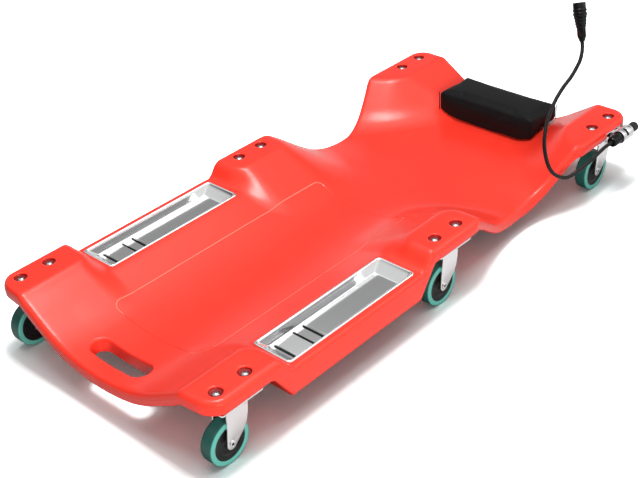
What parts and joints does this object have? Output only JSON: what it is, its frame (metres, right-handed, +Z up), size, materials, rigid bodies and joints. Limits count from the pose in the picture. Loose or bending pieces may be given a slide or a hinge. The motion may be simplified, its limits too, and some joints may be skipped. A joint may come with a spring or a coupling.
{
  "type": "floor creeper",
  "caption": "Low moulded floor creeper board with sunk steel tool trays, a padded headrest, a clip-on gooseneck lamp and swivel casters.",
  "frame": {"origin": "on the floor, under the middle of the board's length and width", "axes": "+Z up, +Y along the board towards the headrest, +X towards the side that carries the lamp"},
  "size_m": [0.4935, 1.0125, 0.3584],
  "materials": {
    "board": "smooth moulded, semi-gloss",
    "tray_steel": "bright pressed sheet",
    "vinyl": "fine grained vinyl",
    "plywood": "bare ply",
    "zinc": "bright zinc",
    "hub_plastic": "satin",
    "tread": "smooth moulded",
    "clip_steel": "polished",
    "lamp_body": "satin black",
    "cell": "printed sleeve left plain",
    "soft_rubber": "ribbed",
    "neck_sleeve": "shrunk sleeve",
    "mirror_cup": "polished",
    "led": "domed",
    "clear_lens": "clear"
  },
  "bodies": {
    "board": {"deck": "board", "tray_left": "tray_steel", "tray_right": "tray_steel", "headrest_cushion": "vinyl", "headrest_board": "plywood", "headrest_screws": "zinc", "pad_screws": "zinc", "pad_nuts": "zinc", "plate_foot_left": "zinc", "plate_foot_right": "zinc", "plate_mid_left": "zinc", "plate_mid_right": "zinc", "plate_head_left": "zinc", "plate_head_right": "zinc", "lamp_clip": "clip_steel", "clip_screw": "zinc"},
    "caster_foot_left": {"fork_foot_left": "zinc", "axle_foot_left": "zinc"},
    "wheel_foot_left": {"hub_foot_left": "hub_plastic", "tyre_foot_left": "tread"},
    "caster_foot_right": {"fork_foot_right": "zinc", "axle_foot_right": "zinc"},
    "wheel_foot_right": {"hub_foot_right": "hub_plastic", "tyre_foot_right": "tread"},
    "caster_mid_left": {"fork_mid_left": "zinc", "axle_mid_left": "zinc"},
    "wheel_mid_left": {"hub_mid_left": "hub_plastic", "tyre_mid_left": "tread"},
    "caster_mid_right": {"fork_mid_right": "zinc", "axle_mid_right": "zinc"},
    "wheel_mid_right": {"hub_mid_right": "hub_plastic", "tyre_mid_right": "tread"},
    "caster_head_left": {"fork_head_left": "zinc", "axle_head_left": "zinc"},
    "wheel_head_left": {"hub_head_left": "hub_plastic", "tyre_head_left": "tread"},
    "caster_head_right": {"fork_head_right": "zinc", "axle_head_right": "zinc"},
    "wheel_head_right": {"hub_head_right": "hub_plastic", "tyre_head_right": "tread"},
    "lamp": {"lamp_barrel": "lamp_body", "lamp_collar": "lamp_body", "lamp_battery": "cell", "gooseneck": "neck_sleeve", "lamp_head": "lamp_body", "lamp_bezel": "lamp_body", "lamp_reflector": "mirror_cup", "lamp_led": "led", "lamp_lens": "clear_lens"},
    "lamp_button": {"tail_button": "soft_rubber"}
  },
  "joints": [
    {"name": "swivel_foot_left", "type": "hinge", "parent": "board", "child": "caster_foot_left", "pos_m": [-0.2087, -0.4407, 0.088], "axis": [0, 0, 1], "continuous": true},
    {"name": "spin_foot_left", "type": "hinge", "parent": "caster_foot_left", "child": "wheel_foot_left", "pos_m": [-0.2087, -0.4617, 0.035], "axis": [1, 0, 0], "continuous": true},
    {"name": "swivel_foot_right", "type": "hinge", "parent": "board", "child": "caster_foot_right", "pos_m": [0.2087, -0.4407, 0.088], "axis": [0, 0, 1], "continuous": true},
    {"name": "spin_foot_right", "type": "hinge", "parent": "caster_foot_right", "child": "wheel_foot_right", "pos_m": [0.2087, -0.4617, 0.035], "axis": [1, 0, 0], "continuous": true},
    {"name": "swivel_mid_left", "type": "hinge", "parent": "board", "child": "caster_mid_left", "pos_m": [-0.2087, 0.0109, 0.088], "axis": [0, 0, 1], "continuous": true},
    {"name": "spin_mid_left", "type": "hinge", "parent": "caster_mid_left", "child": "wheel_mid_left", "pos_m": [-0.2087, -0.0101, 0.035], "axis": [1, 0, 0], "continuous": true},
    {"name": "swivel_mid_right", "type": "hinge", "parent": "board", "child": "caster_mid_right", "pos_m": [0.2087, 0.0109, 0.088], "axis": [0, 0, 1], "continuous": true},
    {"name": "spin_mid_right", "type": "hinge", "parent": "caster_mid_right", "child": "wheel_mid_right", "pos_m": [0.2087, -0.0101, 0.035], "axis": [1, 0, 0], "continuous": true},
    {"name": "swivel_head_left", "type": "hinge", "parent": "board", "child": "caster_head_left", "pos_m": [-0.2087, 0.448, 0.088], "axis": [0, 0, 1], "continuous": true},
    {"name": "spin_head_left", "type": "hinge", "parent": "caster_head_left", "child": "wheel_head_left", "pos_m": [-0.2087, 0.427, 0.035], "axis": [1, 0, 0], "continuous": true},
    {"name": "swivel_head_right", "type": "hinge", "parent": "board", "child": "caster_head_right", "pos_m": [0.2087, 0.448, 0.088], "axis": [0, 0, 1], "continuous": true},
    {"name": "spin_head_right", "type": "hinge", "parent": "caster_head_right", "child": "wheel_head_right", "pos_m": [0.2087, 0.427, 0.035], "axis": [1, 0, 0], "continuous": true},
    {"name": "lamp_turn", "type": "hinge", "parent": "board", "child": "lamp", "pos_m": [0.2487, 0.46, 0.1024], "axis": [0, 1, 0], "range_deg": [-35, 35]},
    {"name": "button_press", "type": "slide", "parent": "lamp", "child": "lamp_button", "axis": [0, -1, 0], "range_m": [0, 0.0014], "stiffness_N_per_m": 900, "springref_m": -0.0006}
  ]
}
